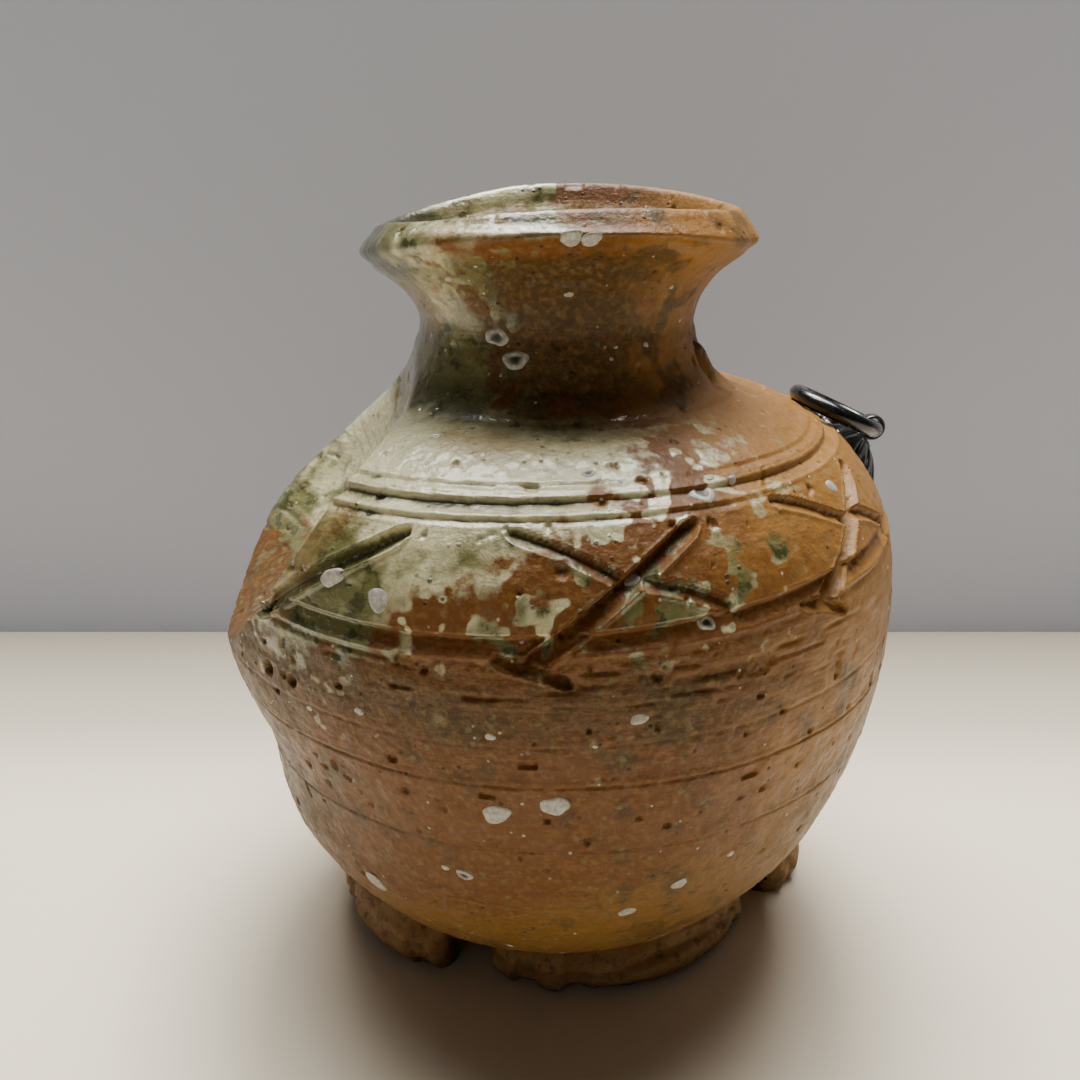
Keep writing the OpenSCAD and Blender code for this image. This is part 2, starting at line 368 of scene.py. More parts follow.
def surface_marks(az, z, p):
    """Height of everything on the outside of the body, along the surface's normal."""
    n3 = fractal(p, 9.0, seed=3, octaves=2)
    depth, mask = carving(az, z, n3)
    # Slow lumps left by the hand, and the wheel's combing: long along the turn, short up the wall.
    depth += 0.55 * fractal(p, 34, seed=11, octaves=2)
    turned = np.stack([az / 22, az * 0, z], axis=1)
    comb = noise(turned, 2.3, seed=21) * 0.5
    comb += noise(turned * np.array([2.0, 1, 1.0]), 1.1, seed=22) * 0.35
    comb_amount = 0.05 + 0.12 * smooth(-np.abs(z - 75), -11, -2) + 0.06 * smooth(-z, -60, -20)
    depth += comb * comb_amount
    # Four trimming lines, two of them deep, each ragged along its length.
    a = np.radians(az)
    for height, deep in ((59.0 + 0.9 * np.sin(a), 0.42), (47.2 - 3.2 * np.clip(-np.sin(a), 0, 1), 0.38),
                         (66.5 + 1.6 * np.sin(a - 0.6), 0.16), (34.5 + 0.8 * np.sin(2 * a), 0.2)):
        ragged = 0.5 + 0.5 * noise(np.stack([az / 9, az * 0 + deep, z * 0], axis=1), 1.0, seed=31)
        depth -= 1.05 * deep * (0.45 + 0.55 * ragged) * np.exp(-((z - height) / 0.22) ** 2)
        depth += 0.25 * deep * np.exp(-((z - height - 0.7) / 0.45) ** 2)
    # Torn drag marks where coarse grains were pulled along by the tool.
    drag = noise(np.stack([az / 5.5, az * 0, z], axis=1), 1.0, seed=41)
    zone = smooth(-np.abs(z - 74.5), -5.5, -1.5)
    depth -= 0.38 * smooth(drag, 0.50, 0.85) * zone
    # Pits and coarse sand.
    pit = noise(p, 1.9, seed=51)
    depth -= 0.5 * smooth(pit, 0.76, 0.9)
    depth += 0.14 * fractal(p, 1.7, seed=61, octaves=2)
    for pa, pz, size, deep in PITS:
        d = np.hypot(np.radians(wrap(az - pa)) * radius_at(pz), z - pz)
        depth -= deep * np.exp(-((d / size) ** 4))
    return depth, mask

# ---------------------------------------------------------------- colour masks


def glaze_masks(az, z, p, carved):
    """Where the natural ash glaze lies, how green it pools, where the clay flashed and scorched, and painted
    shade on the neck under the flange and low on the belly.
    """
    n = fractal(p, 16, seed=71, octaves=3)
    n_fine = fractal(p, 4.5, seed=81, octaves=3)
    a = wrap(az)
    # Ash fell on the shoulder from the front left; the right side stayed nearly bare.
    edge = 75 + 31 * smooth(a, -50, 40) - 32 * smooth(a, 120, 180)
    ash = smooth(z + 7 * n + 5.0 * n_fine, edge - 9, edge + 9)
    neck = smooth(z, JOINT_Z - 3, JOINT_Z + 4)
    neck_ash = smooth(-a + 16 * n + 14 * n_fine, -2, 55) * smooth(a, -178, -150)
    lip_ash = 0.9 * smooth(z + 2 * n, TOP_Z - 6, TOP_Z - 3) * smooth(-a + 10 * n, -12, 20)
    neck_ash = np.maximum(neck_ash, lip_ash)
    ash = ash * (1 - neck) + neck_ash * neck
    n_drop = fractal(p, 2.4, seed=85, octaves=2)
    drips = smooth(n_drop + 0.5 * n_fine, 0.1, 0.5) * smooth(z, 30, 74) * smooth(-a, -70, 0)
    mottle = smooth(n_drop + 0.6 * n_fine + 0.3 * n, -0.15, 0.45)
    mottle = mottle * smooth(z, 74, 82) * smooth(-a, -62, -22) * (1 - neck)
    ash = np.clip(np.maximum(ash, 0.62 * mottle) + 0.42 * drips * (0.6 + 0.4 * smooth(-a, 0, 40)), 0, 1)
    green = np.clip(0.62 + 1.2 * n + 0.9 * n_fine + 0.30 * smooth(-a, 10, 60) + 0.5 * carved, 0, 1)
    green *= 1 - 0.62 * smooth(z, 90, 97) * (1 - neck) * (1 - carved)
    green = np.clip(green + 0.45 * neck * (1 - smooth(z, TOP_Z - 9, TOP_Z - 5)), 0, 1)
    flash = np.clip(smooth(a + 14 * n, 5, 50) * smooth(-a, -170, -120) + 0.35 * n_fine, 0, 1)
    # Painted shade: the neck's front is darkened where the flange casts its shadow.
    shade = np.exp(-((a + 6) / 34) ** 2) * smooth(z, JOINT_Z, JOINT_Z + 6)
    shade = shade * (1 - smooth(z, TOP_Z - 9, TOP_Z - 6))
    waist = np.exp(-((z - 73) / 8) ** 2) * smooth(-np.abs(a + 15), -75, -20)
    burnt = smooth(n_fine + 0.7 * n, 0.05, 0.6) * (0.45 + 0.55 * neck)
    # Painted shade: the lower belly and the whole neck under the flange are darkened.
    painted_shade_low_and_neck = 0.34 * (1 - smooth(z, 68, 80)) + 0.42 * neck * (1 - smooth(z, TOP_Z - 9, TOP_Z - 6))
    left = smooth(-a + 12 * n, 18, 60) * (1 - smooth(z, 76, 86)) * smooth(a, -170, -120)
    # The scorch mask holds real scorching together with the painted shade above.
    scorch_and_shade = np.clip(burnt + 0.75 * shade + 0.55 * waist + 0.45 * left + painted_shade_low_and_neck, 0, 1)
    return ash, green, flash, scorch_and_shade


# ---------------------------------------------------------------- mesh making


def columns(count):
    """Azimuths round the pot in degrees, closer together at the front than at the back."""
    t = np.arange(count) / count
    return np.degrees(TAU * t - 0.35 * np.sin(TAU * t))


def grid_normals(p):
    """Normals of an (R, C, 3) grid that closes round its columns."""
    across = np.roll(p, -1, axis=1) - np.roll(p, 1, axis=1)
    up = np.empty_like(p)
    up[1:-1] = p[2:] - p[:-2]
    up[0] = p[1] - p[0]
    up[-1] = p[-1] - p[-2]
    n = np.cross(across, up)
    return n / np.maximum(np.linalg.norm(n, axis=-1, keepdims=True), 1e-9)


def new_object(name, verts_mm, faces, material, body, attributes=None):
    mesh = bpy.data.meshes.new(name)
    mesh.from_pydata((np.asarray(verts_mm) * MM).tolist(), [], faces)
    mesh.polygons.foreach_set("use_smooth", [True] * len(mesh.polygons))
    for key, values in (attributes or {}).items():
        layer = mesh.attributes.new(key, "FLOAT", "POINT")
        layer.data.foreach_set("value", np.asarray(values, dtype=np.float32))
    mesh.update()
    obj = bpy.data.objects.new(name, mesh)
    bpy.context.collection.objects.link(obj)
    mesh.materials.append(material)
    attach(obj, body)
    return obj


def grid_faces(rows, cols, flip=False):
    faces = []
    for i in range(rows - 1):
        base = i * cols
        for j in range(cols):
            k = (j + 1) % cols
            quad = (base + j, base + k, base + cols + k, base + cols + j)
            faces.append(quad[::-1] if flip else quad)
    return faces


def clay_sheet(name, grid, normals, material, masks):
    """One band of the pot's skin as an object, with its shared normals kept so the bands meet unseen."""
    rows, cols = grid.shape[:2]
    obj = new_object(name, grid.reshape(-1, 3), grid_faces(rows, cols), material, "pot", masks)
    obj.data.normals_split_custom_set_from_vertices(normals.reshape(-1, 3).tolist())
    return obj


# ---------------------------------------------------------------- materials


class Nodes:
    """Short hand for wiring a material."""

    def __init__(self, name):
        self.mat = bpy.data.materials.new(name)
        self.mat.use_nodes = True
        self.tree = self.mat.node_tree
        self.tree.nodes.clear()
        self.out = self.tree.nodes.new("ShaderNodeOutputMaterial")
        self.bsdf = self.tree.nodes.new("ShaderNodeBsdfPrincipled")
        self.tree.links.new(self.bsdf.outputs[0], self.out.inputs[0])
        coords = self.tree.nodes.new("ShaderNodeTexCoord")
        self.place = coords.outputs["Object"]

    def put(self, socket, value):
        if isinstance(value, bpy.types.NodeSocket):
            self.tree.links.new(value, socket)
        elif value is not None:
            socket.default_value = value

    def math(self, op, a, b=None, c=None, clamp=False):
        n = self.tree.nodes.new("ShaderNodeMath")
        n.operation = op
        n.use_clamp = clamp
        for i, v in enumerate((a, b, c)):
            self.put(n.inputs[i], v)
        return n.outputs[0]

    def noise(self, size_mm, detail=3.0, rough=0.55, stretch=(1, 1, 1), shift=0.0):
        mapping = self.tree.nodes.new("ShaderNodeMapping")
        self.put(mapping.inputs["Vector"], self.place)
        mapping.inputs["Scale"].default_value = tuple(1000 / size_mm / s for s in stretch)
        mapping.inputs["Location"].default_value = (shift, shift * 0.7, -shift)
        n = self.tree.nodes.new("ShaderNodeTexNoise")
        self.put(n.inputs["Vector"], mapping.outputs[0])
        n.inputs["Scale"].default_value = 1.0
        n.inputs["Detail"].default_value = detail
        n.inputs["Roughness"].default_value = rough
        return n.outputs["Fac"]

    def cells(self, size_mm, feature="F1", shift=0.0):
        mapping = self.tree.nodes.new("ShaderNodeMapping")
        self.put(mapping.inputs["Vector"], self.place)
        mapping.inputs["Scale"].default_value = (1000 / size_mm,) * 3
        mapping.inputs["Location"].default_value = (shift, -shift, shift)
        n = self.tree.nodes.new("ShaderNodeTexVoronoi")
        n.feature = feature
        self.put(n.inputs["Vector"], mapping.outputs[0])
        n.inputs["Scale"].default_value = 1.0
        return n.outputs["Distance"]

    def ramp(self, value, low, high):
        n = self.tree.nodes.new("ShaderNodeMapRange")
        n.interpolation_type = "SMOOTHSTEP"
        self.put(n.inputs["Value"], value)
        n.inputs["From Min"].default_value = low
        n.inputs["From Max"].default_value = high
        return n.outputs["Result"]

    def attr(self, name):
        n = self.tree.nodes.new("ShaderNodeAttribute")
        n.attribute_name = name
        return n.outputs["Fac"]

    def mottled(self, name, pattern, amount, low, high):
        """A painted mask whose edge is broken up by a pattern, then sharpened between two levels."""
        uneven = self.math("MULTIPLY", self.math("SUBTRACT", pattern, 0.5), amount)
        return self.ramp(self.math("ADD", self.attr(name), uneven), low, high)

    def mix(self, fac, a, b):
        n = self.tree.nodes.new("ShaderNodeMix")
        n.data_type = "RGBA"
        self.put(n.inputs[0], fac)
        self.put(n.inputs[6], a if isinstance(a, bpy.types.NodeSocket) else (*a, 1))
        self.put(n.inputs[7], b if isinstance(b, bpy.types.NodeSocket) else (*b, 1))
        return n.outputs[2]

    def mixf(self, fac, a, b):
        n = self.tree.nodes.new("ShaderNodeMix")
        n.data_type = "FLOAT"
        self.put(n.inputs[0], fac)
        self.put(n.inputs[2], a)
        self.put(n.inputs[3], b)
        return n.outputs[0]

    def bump(self, height, distance_mm, strength=1.0, under=None):
        n = self.tree.nodes.new("ShaderNodeBump")
        n.inputs["Strength"].default_value = strength
        n.inputs["Distance"].default_value = distance_mm * MM
        self.put(n.inputs["Height"], height)
        if under is not None:
            self.put(n.inputs["Normal"], under)
        return n.outputs[0]


def fired_clay():
    """Wood-fired clay: flashed orange to scorched brown and ochre, under cream to olive ash glaze, with
    painted shade in the scorched brown on the neck and lower belly.
    """
    m = Nodes("wood_fired_clay")
    fine = m.noise(1.1, 5, 0.6)
    mid = m.noise(4.0, 5, 0.6, shift=3.1)
    wide = m.noise(14, 4, 0.55, shift=7.7)
    drag = m.noise(1.5, 3, 0.5, stretch=(5, 5, 0.8), shift=1.3)
    ash = m.mottled("ash", mid, 1.7, 0.28, 0.74)
    green = m.mottled("green", mid, 1.1, 0.25, 1.0)
    flash = m.mottled("flash", wide, 1.0, 0.15, 0.95)
    burn = m.math("ADD", m.math("MULTIPLY", drag, 0.35), m.math("MULTIPLY", mid, 0.65))
    scorch_and_shade = m.mottled("scorch_and_shade", burn, 1.5, 0.30, 1.10)
    ochre = m.mottled("ochre", wide, 0.8, 0.25, 0.85)
    clay = m.mix(flash, (0.150, 0.054, 0.008), (0.300, 0.140, 0.030))
    clay = m.mix(ochre, clay, (0.200, 0.098, 0.018))
    # Scorched brown; its mask also paints shade on the neck under the flange and low on the belly.
    clay = m.mix(m.math("MULTIPLY", scorch_and_shade, 0.85), clay, (0.060, 0.036, 0.010))
    clay = m.mix(m.math("MULTIPLY", m.ramp(fine, 0.42, 0.72), 0.40), clay, (0.30, 0.165, 0.045))
    glaze = m.mix(green, (0.60, 0.56, 0.33), (0.150, 0.145, 0.052))
    pooled = m.ramp(m.math("MULTIPLY", green, m.ramp(mid, 0.42, 0.7)), 0.40, 0.85)
    glaze = m.mix(pooled, glaze, (0.060, 0.062, 0.022))
    glaze = m.mix(m.math("MULTIPLY", m.ramp(wide, 0.50, 0.64), 0.45), glaze, (0.30, 0.17, 0.055))
    craze = m.math("SUBTRACT", 1.0, m.ramp(m.cells(2.6, "DISTANCE_TO_EDGE", 2.0), 0.0, 0.045))
    glaze = m.mix(m.math("MULTIPLY", craze, 0.30), glaze, (0.16, 0.13, 0.07))
    colour = m.mix(ash, clay, glaze)
    colour = m.mix(m.math("MULTIPLY", m.attr("dark"), 0.9), colour, (0.035, 0.036, 0.022))
    # Glassy green droplets and iron specks, then white feldspar dust.
    drops = m.math("MULTIPLY", m.math("SUBTRACT", 1.0, m.ramp(m.cells(2.1, shift=5.0), 0.12, 0.34)),
                   m.ramp(mid, 0.46, 0.60))
    colour = m.mix(m.math("MULTIPLY", drops, 0.6), colour, (0.17, 0.165, 0.075))
    iron = m.math("MULTIPLY", m.math("SUBTRACT", 1.0, m.ramp(m.cells(1.9, shift=9.0), 0.10, 0.24)),
                  m.ramp(m.noise(5, 2, shift=4.0), 0.50, 0.66))
    colour = m.mix(m.math("MULTIPLY", iron, 0.85), colour, (0.030, 0.016, 0.008))
    dust = m.math("MULTIPLY", m.math("SUBTRACT", 1.0, m.ramp(m.cells(2.7, shift=13.0), 0.055, 0.13)),
                  m.ramp(m.noise(7, 2, shift=8.0), 0.46, 0.60))
    colour = m.mix(m.math("MULTIPLY", dust, 0.8), colour, (0.62, 0.56, 0.46))
    m.put(m.bsdf.inputs["Base Color"], colour)
    rough_clay = m.mixf(m.ramp(mid, 0.3, 0.7), 0.36, 0.60)
    rough_glaze = m.mixf(m.ramp(fine, 0.3, 0.8), 0.10, 0.32)
    m.put(m.bsdf.inputs["Roughness"], m.mixf(ash, rough_clay, rough_glaze))
    m.put(m.bsdf.inputs["Specular IOR Level"], m.mixf(ash, 0.30, 0.55))
    m.put(m.bsdf.inputs["Coat Weight"], m.mixf(ash, 0.03, 0.50))
    m.bsdf.inputs["Coat Roughness"].default_value = 0.12
    sand = m.bump(m.noise(0.8, 4, 0.65, shift=2.2), 0.22, 0.9)
    combed = m.bump(m.noise(0.9, 3, 0.5, stretch=(7, 7, 0.9), shift=6.0), 0.13, 0.8, under=sand)
    grit = m.bump(m.math("ADD", iron, dust), 0.16, 0.8, under=combed)
    m.put(m.bsdf.inputs["Normal"], grit)
    return m.mat


def foot_clay():
    """Bare rolled clay of the foot: tan and orange on top, darker brown towards the bottom, with dark
    scorched patches.
    """
    m = Nodes("rolled_foot_clay")
    fine = m.noise(0.9, 5, 0.6)
    mid = m.noise(3.5, 5, 0.6, shift=4.4)
    split = m.tree.nodes.new("ShaderNodeSeparateXYZ")
    m.put(split.inputs[0], m.place)
    height = m.math("MULTIPLY", split.outputs[2], 1000.0)
    low = m.math("SUBTRACT", 1.0, m.ramp(m.math("ADD", height, m.math("MULTIPLY", mid, 3.0)), 1.0, 8.0))
    colour = m.mix(m.ramp(mid, 0.35, 0.65), (0.27, 0.125, 0.030), (0.33, 0.185, 0.058))
    colour = m.mix(m.math("MULTIPLY", low, 0.55), colour, (0.10, 0.048, 0.014))
    colour = m.mix(m.math("MULTIPLY", m.ramp(m.noise(1.8, 4, 0.6, shift=9.0), 0.52, 0.68), 0.7), colour,
                   (0.045, 0.028, 0.014))
    colour = m.mix(m.math("MULTIPLY", m.ramp(fine, 0.5, 0.8), 0.4), colour, (0.42, 0.26, 0.12))
    m.put(m.bsdf.inputs["Base Color"], colour)
    m.put(m.bsdf.inputs["Roughness"], m.mixf(mid, 0.45, 0.75))
    lumps = m.bump(m.noise(2.6, 5, 0.6, shift=1.0), 0.5, 0.9)
    m.put(m.bsdf.inputs["Normal"], m.bump(fine, 0.25, 0.8, under=lumps))
    return m.mat


def melted_feldspar():
    """White feldspar that melted out of the clay, with a grey rim and dark burst centres."""
    m = Nodes("melted_feldspar")
    fine = m.noise(0.7, 4, 0.6)
    colour = m.mix(m.ramp(fine, 0.35, 0.7), (0.34, 0.32, 0.27), (0.56, 0.55, 0.51))
    colour = m.mix(m.math("MULTIPLY", m.attr("rim"), 0.85), colour, (0.22, 0.17, 0.10))
    colour = m.mix(m.attr("burst"), colour, (0.030, 0.024, 0.017))
    m.put(m.bsdf.inputs["Base Color"], colour)
    m.put(m.bsdf.inputs["Roughness"], m.mixf(fine, 0.22, 0.5))
    m.put(m.bsdf.inputs["Normal"], m.bump(m.noise(0.5, 3, 0.6, shift=2.0), 0.10, 0.7))
    return m.mat


def lacquered_iron(name, gloss, lift):
    """Black lacquer over wrought iron, thin and slightly worn in patches."""
    m = Nodes(name)
    fine = m.noise(0.6, 4, 0.6)
    worn = m.noise(2.2, 4, 0.6, shift=3.0)
    colour = m.mix(m.ramp(worn, 0.45, 0.75), (0.006 * lift, 0.0075 * lift, 0.008 * lift),
                   (0.018 * lift, 0.020 * lift, 0.021 * lift))
    m.put(m.bsdf.inputs["Base Color"], colour)
    m.bsdf.inputs["Metallic"].default_value = 0.35
    m.put(m.bsdf.inputs["Roughness"], m.mixf(m.ramp(fine, 0.3, 0.7), gloss, gloss + 0.16))
    m.bsdf.inputs["Coat Weight"].default_value = 0.6
    m.bsdf.inputs["Coat Roughness"].default_value = 0.12
    m.put(m.bsdf.inputs["Normal"], m.bump(m.noise(1.6, 4, 0.6, shift=5.0), 0.10, 0.6))
    return m.mat


CLAY = fired_clay()
FOOT = foot_clay()
FELDSPAR = melted_feldspar()
IRON = lacquered_iron("lacquered_iron", 0.34, 1.6)
RING_IRON = lacquered_iron("ring_lacquer", 0.20, 1.0)

# ---------------------------------------------------------------- the pot's skin

COLS = 700


def outside_rows():
    """Profile points from the underside's middle, up the outside and over the lip, and each part's end."""
    under = np.stack([np.linspace(0.4, JOINT_R, 10), np.full(10, BASE_Z)], axis=1)

    def line_at(s):
        return np.stack([np.interp(s, BODY_RUN, BODY_LINE[:, 0]), np.interp(s, BODY_RUN, BODY_LINE[:, 1])], 1)

    low_s, split_s = float(run_at(41.0)), float(run_at(73.0))
    belly = line_at(np.linspace(0, low_s, 128))[1:]
    waist = line_at(np.linspace(low_s, split_s, 126))[1:]
    shoulder = line_at(np.linspace(split_s, BODY_RUN[-1], 139))[1:]
    neck = resample(NECK_OUT, 74)[1:]
    lip = resample(LIP, 26)[1:]
    neck_in = resample(NECK_IN, 36)[1:]
    body_in = resample(BODY_IN, 50)[1:]
    parts = [under, belly, waist, shoulder, neck, lip, neck_in, body_in]
    ends = np.cumsum([len(p) for p in parts])
    return np.concatenate(parts), ends


rz, ends = outside_rows()
az = columns(COLS)
n_out = ends[5]
outer = shape(az, rz[:n_out], inside=False)
inner = shape(az, rz[n_out:], inside=True)
skin = np.concatenate([outer, inner])
flat_normals = grid_normals(skin)

az_grid = np.repeat(wrap(az)[None, :], len(rz), axis=0)
z_grid = np.repeat(rz[:, 1][:, None], COLS, axis=1)

body_rows = slice(10, ends[3])
height = np.zeros(skin.shape[:2])
carved = np.zeros(skin.shape[:2])
sel = skin[body_rows].reshape(-1, 3)
h, c = surface_marks(az_grid[body_rows].ravel(), z_grid[body_rows].ravel(), sel)
fade = smooth(z_grid[body_rows], BASE_Z, BASE_Z + 3) * (1 - smooth(z_grid[body_rows], JOINT_Z - 2.5, JOINT_Z))
height[body_rows] = h.reshape(-1, COLS) * fade
carved[body_rows] = c.reshape(-1, COLS) * fade


def neck_marks(a, z, p):
    """Throwing lines, sand and a torn flap round the neck, and the lip's soft unevenness."""
    comb = noise(np.stack([a / 30, a * 0, z], axis=1), 1.9, seed=24)
    out = 0.16 * comb + 0.30 * fractal(p, 22, seed=14, octaves=2) + 0.08 * fractal(p, 1.7, seed=62, octaves=2)
    pit = noise(p, 2.4, seed=52)
    out -= 0.35 * smooth(pit, 0.66, 0.86)
    flap = np.hypot(np.radians(wrap(a - 76)) * 27, (z - 109.5) * 0.9)
    out += 0.8 * np.exp(-((flap / 2.6) ** 4)) - 0.7 * np.exp(-(((flap - 3.4) / 0.8) ** 2))
    edge = np.exp(-((z - (TOP_Z - 6.2)) / 0.7) ** 2)
    return out - 0.25 * edge


neck_rows = slice(ends[3] - 8, ends[6])
a, z = az_grid[neck_rows].ravel(), z_grid[neck_rows].ravel()
extra = neck_marks(a, z, skin[neck_rows].reshape(-1, 3)).reshape(-1, COLS)
height[neck_rows] += extra * smooth(z_grid[neck_rows], JOINT_Z - 2.5, JOINT_Z + 0.5)
skin = skin + flat_normals * height[..., None]
normals = grid_normals(skin)
points = skin.reshape(-1, 3)

ash, green, flash, scorch_and_shade = glaze_masks(az_grid.ravel(), z_grid.ravel(), points, carved.ravel())
n_wide = fractal(points, 20, seed=91, octaves=2)
n_lip = fractal(points, 7, seed=92, octaves=3)
a, z = az_grid.ravel(), z_grid.ravel()
ochre = (smooth(-z + 8 * n_wide + 14 * np.sin(np.radians(a)), -52, -26)
         + 0.8 * smooth(a, 40, 80) * smooth(-z, -92, -60))
ochre = np.clip(ochre, 0, 1)
lip_zone = smooth(z, TOP_Z - 8.5, TOP_Z - 5)
dark = lip_zone * smooth(-a + 10 * n_lip, 48, 72) * smooth(a, -150, -110)
dark = np.clip(dark + 0.5 * smooth(n_lip, 0.35, 0.6) * lip_zone, 0, 1)
inside = np.arange(len(points)) >= ends[5] * COLS
ash = np.where(inside, 0.55 + 0.5 * n_lip, ash)
green = np.where(inside, 0.25 + 0.6 * n_wide, green)
scorch_and_shade = np.where(inside, 0.25 + 0.6 * n_lip, scorch_and_shade)
dark = np.where(inside, 0, dark)
ochre = np.where(inside, 0.8, ochre)
masks = {"ash": ash, "green": green, "flash": flash, "scorch_and_shade": scorch_and_shade, "ochre": ochre, "dark": dark}


def sheet(name, start, stop, slot, *nodes):
    take = slice(start * COLS, stop * COLS)
    obj = clay_sheet(name, skin[start:stop], normals[start:stop], CLAY,
                     {k: v[take] for k, v in masks.items()})
    if nodes:
        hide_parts(*nodes)
    return obj


sheet("vase_belly", 0, ends[1], "fired_clay", "jar_body")
sheet("vase_waist", ends[1] - 1, ends[2], "fired_clay", "jar_body")
sheet("vase_shoulder", ends[2] - 1, ends[3], "fired_clay", "jar_body")
sheet("vase_neck", ends[3] - 1, ends[5], "ash_glazed_clay", "neck_collar")
sheet("vase_bore", ends[5] - 1, ends[7], "ash_glazed_clay", "neck_collar", "jar_body")

# ---------------------------------------------------------------- foot lobes


def foot_lobe(name, node, azimuth, radius, reach, roll, seed, fold):
    """A rolled lobe of clay pressed under the pot: a bent sausage with blunt ends and a flat underside."""
    low, high = node_box_mm(node)
    mid_z = roll - 3.0
    n_u, n_v = 110, 72
    u = np.linspace(-1, 1, n_u)
    v = np.arange(n_v) / n_v * TAU
    uu, vv = np.meshgrid(u, v, indexing="ij")
    end = np.sqrt(np.clip(1 - np.abs(uu) ** 5, 0, 1)) ** 0.8
    roll_r = (roll - 0.3) * end
    roll_h = (high[2] - mid_z) * (0.55 + 0.45 * end)
    angle = np.radians(azimuth + uu * reach)
    across = np.cos(vv) * roll_r * (1 + 0.10 * np.sin(3 * vv + azimuth))
    up = mid_z + np.sin(vv) * roll_h
    rr = radius + across
    x = FOOT_SHIFT[0] + rr * np.sin(angle)
    y = FOOT_SHIFT[1] - rr * np.cos(angle)
    p = np.stack([x, y, up], axis=-1).reshape(-1, 3)
    out = np.stack([np.cos(vv) * np.sin(angle), -np.cos(vv) * np.cos(angle), np.sin(vv)], axis=-1)
    out = out.reshape(-1, 3)
    bump = 0.75 * fractal(p, 9, seed=seed, octaves=3) + 0.35 * fractal(p, 2.6, seed=seed + 5, octaves=2)
    # The pressed-over lip along the outside and the tool's nicks across it.
    outer_side = smooth(np.cos(vv), 0.0, 0.8).ravel()
    crease = np.exp(-((up.ravel() - 5.4 - 1.2 * np.sin(uu.ravel() * 4 + seed)) / 0.75) ** 2)
    bump -= fold * 1.3 * crease * outer_side
    nick = noise(np.stack([uu.ravel() * 7, uu.ravel() * 0, uu.ravel() * 0], axis=1), 1.0, seed=seed + 9)
    bump -= 1.2 * smooth(nick, 0.35, 0.75) * outer_side
    p = p + out * (bump * end.ravel())[:, None]
    p[:, 2] = np.maximum(p[:, 2], 0.02)
    for axis in range(3):
        p[:, axis] = np.clip(p[:, axis], low[axis] - 0.2, high[axis] + 0.2)
    p[:, 2] = np.maximum(p[:, 2], 0.0)
    faces = []
    for i in range(n_u - 1):
        for j in range(n_v):
            k = (j + 1) % n_v
            faces.append((i * n_v + j, (i + 1) * n_v + j, (i + 1) * n_v + k, i * n_v + k))
    faces.append(tuple(range(n_v)))
    faces.append(tuple((n_u - 1) * n_v + j for j in reversed(range(n_v))))
    obj = new_object(name, p, faces, FOOT, "pot")
    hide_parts(node)
    return obj


foot_lobe("foot_front", "foot_lobe_front", 20.5, 33.0, 47, 7.0, 101, 1.0)
foot_lobe("foot_left", "foot_lobe_left", -74.0, 38.5, 39, 8.0, 131, 0.6)
foot_lobe("foot_right", "foot_lobe_right", 110.0, 40.5, 36, 8.8, 161, 0.8)
foot_lobe("foot_back", "foot_lobe_back", 199.0, 35.0, 33, 7.0, 191, 0.5)

# ---------------------------------------------------------------- melted feldspar

# Pairs of grains: azimuth and height between them, half angle, size, drop from left to right, burst.
PAIRS = [(-20, JOINT_Z + 10, 4, 2.0, 3, 1), (5, TOP_Z - 3.5, 2.5, 1.7, 0, 0), (-30, 85, 4, 2.1, 1, 0),
         (-5, 55, 4, 2.2, -2, 0), (15, 35, 4, 1.5, -5, 0), (30, 98, 2, 0.9, 1, 0), (165, 62, 5, 1.7, 2, 0)]
# Single grains: azimuth, height, size, burst.
SINGLES = [(25, 97, 2.3, 1), (-35, 30, 2.4, 0), (-15, 40, 1.5, 1), (10, 70, 1.3, 0), (80, 45, 2.0, 0),
           (5, 100, 1.1, 1), (10, 88, 1.4, 0), (20, 82, 1.5, 1), (55, 94, 1.5, 0), (-60, 92, 1.5, 0),
           (145, 85, 1.8, 1), (195, 74, 1.8, 1), (220, 50, 1.6, 0), (180, 35, 1.6, 0)]


def placed_grains():
    """The large grains: azimuth, height, half-width, half-height, how far each stands out, burst."""
    spots = list(SINGLES)
    for middle, level, half, size, drop, burst in PAIRS:
        spots += [(middle + side * half, level - side * drop / 2, size, burst) for side in (-1, 1)]
    return [(a, z, 1.05 * size, 0.88 * size, 0.2 * size, burst) for a, z, size, burst in spots]


def scattered_grains(count):
    """Small grains thrown over the whole outside, thicker on the shoulder."""
    rng = random.Random(7)
    out = []
    for _ in range(count):
        z = rng.uniform(16, 128)
        if rng.random() < 0.35 and z < 70:
            z += 45
        size = 0.32 + 0.5 * rng.random() ** 2.5
        out.append((rng.uniform(-180, 180), z, size * rng.uniform(0.9, 1.5), size, 0.12, 0))
    return out


def skin_spot(azimuth, height_mm):
    """Where on the finished outside a point of that azimuth and height lies, with its outward normal."""
    col = int(np.argmin(np.abs(wrap(az - azimuth))))
    rows = skin[10:ends[5], col, 2]
    row = 10 + int(np.argmin(np.abs(rows - height_mm)))
    return skin[row, col], normals[row, col]


